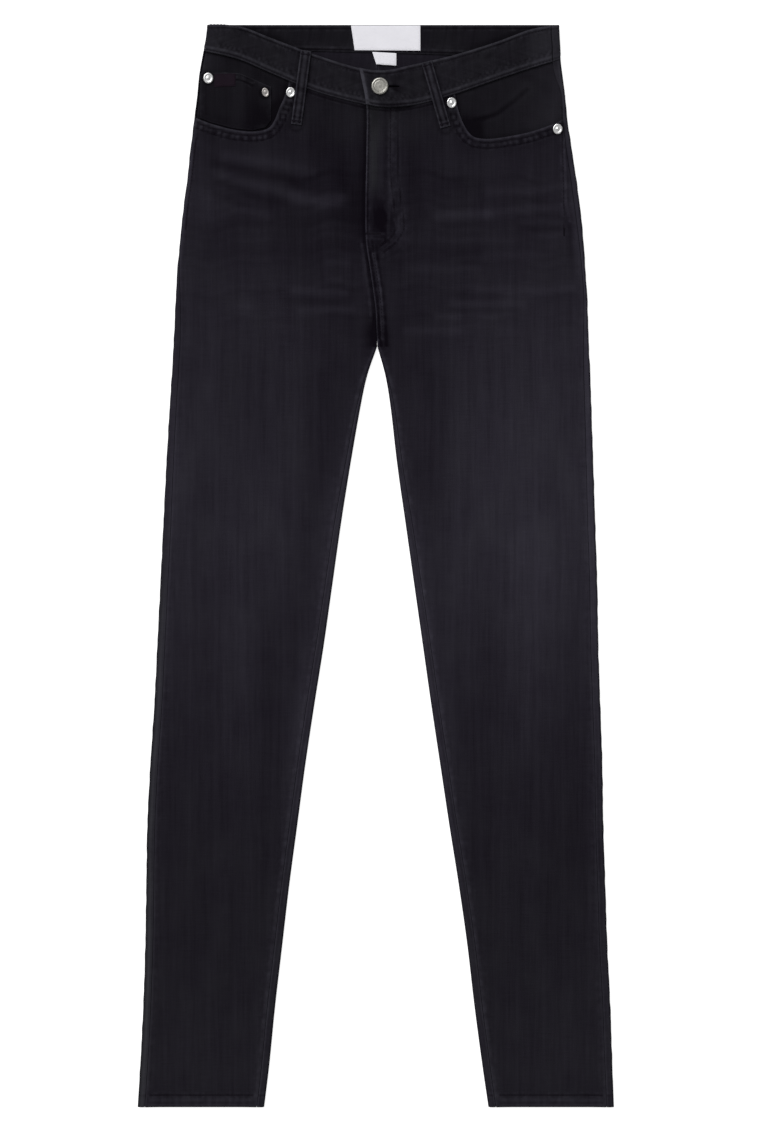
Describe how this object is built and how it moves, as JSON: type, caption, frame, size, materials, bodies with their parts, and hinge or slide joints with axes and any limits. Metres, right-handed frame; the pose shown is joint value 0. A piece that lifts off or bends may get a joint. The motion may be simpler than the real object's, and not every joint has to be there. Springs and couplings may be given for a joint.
{
  "type": "mom jeans laid flat",
  "caption": "High-waisted tapered five-pocket mom jeans in black washed denim, laid flat on their back with fly, button and belt loops.",
  "frame": {"origin": "middle of the garment's outline, on the surface that it lies on", "axes": "+Y from the hems to the waist, +Z out of the front of the garment, +X to the wearer's left"},
  "size_m": [0.476, 1.081, 0.013],
  "materials": {
    "denim": "black washed twill, matte",
    "tab_cloth": "dark woven tape",
    "label_cloth": "white satin ribbon",
    "nickel": "matte nickel",
    "steel": "polished"
  },
  "bodies": {
    "root": {"front_right": "denim", "front_left": "denim", "back_right": "denim", "back_left": "denim", "yoke_right": "denim", "yoke_left": "denim", "waistband_front_right": "denim", "waistband_front_left": "denim", "waistband_back": "denim", "coin_pocket": "denim", "belt_loop_front_right": "denim", "belt_loop_front_left": "denim", "belt_loop_back_right": "denim", "belt_loop_back_centre": "denim", "belt_loop_back_left": "denim", "back_pocket_right": "denim", "back_pocket_left": "denim", "pocket_facing_right": "denim", "pocket_facing_left": "denim", "coin_tab": "tab_cloth", "main_label": "label_cloth", "size_label": "label_cloth", "button": "nickel", "rivet_coin_outer": "steel", "rivet_coin_inner": "steel", "rivet_pocket_right": "steel", "rivet_pocket_left_inner": "steel", "rivet_pocket_left_outer": "steel"}
  },
  "joints": []
}
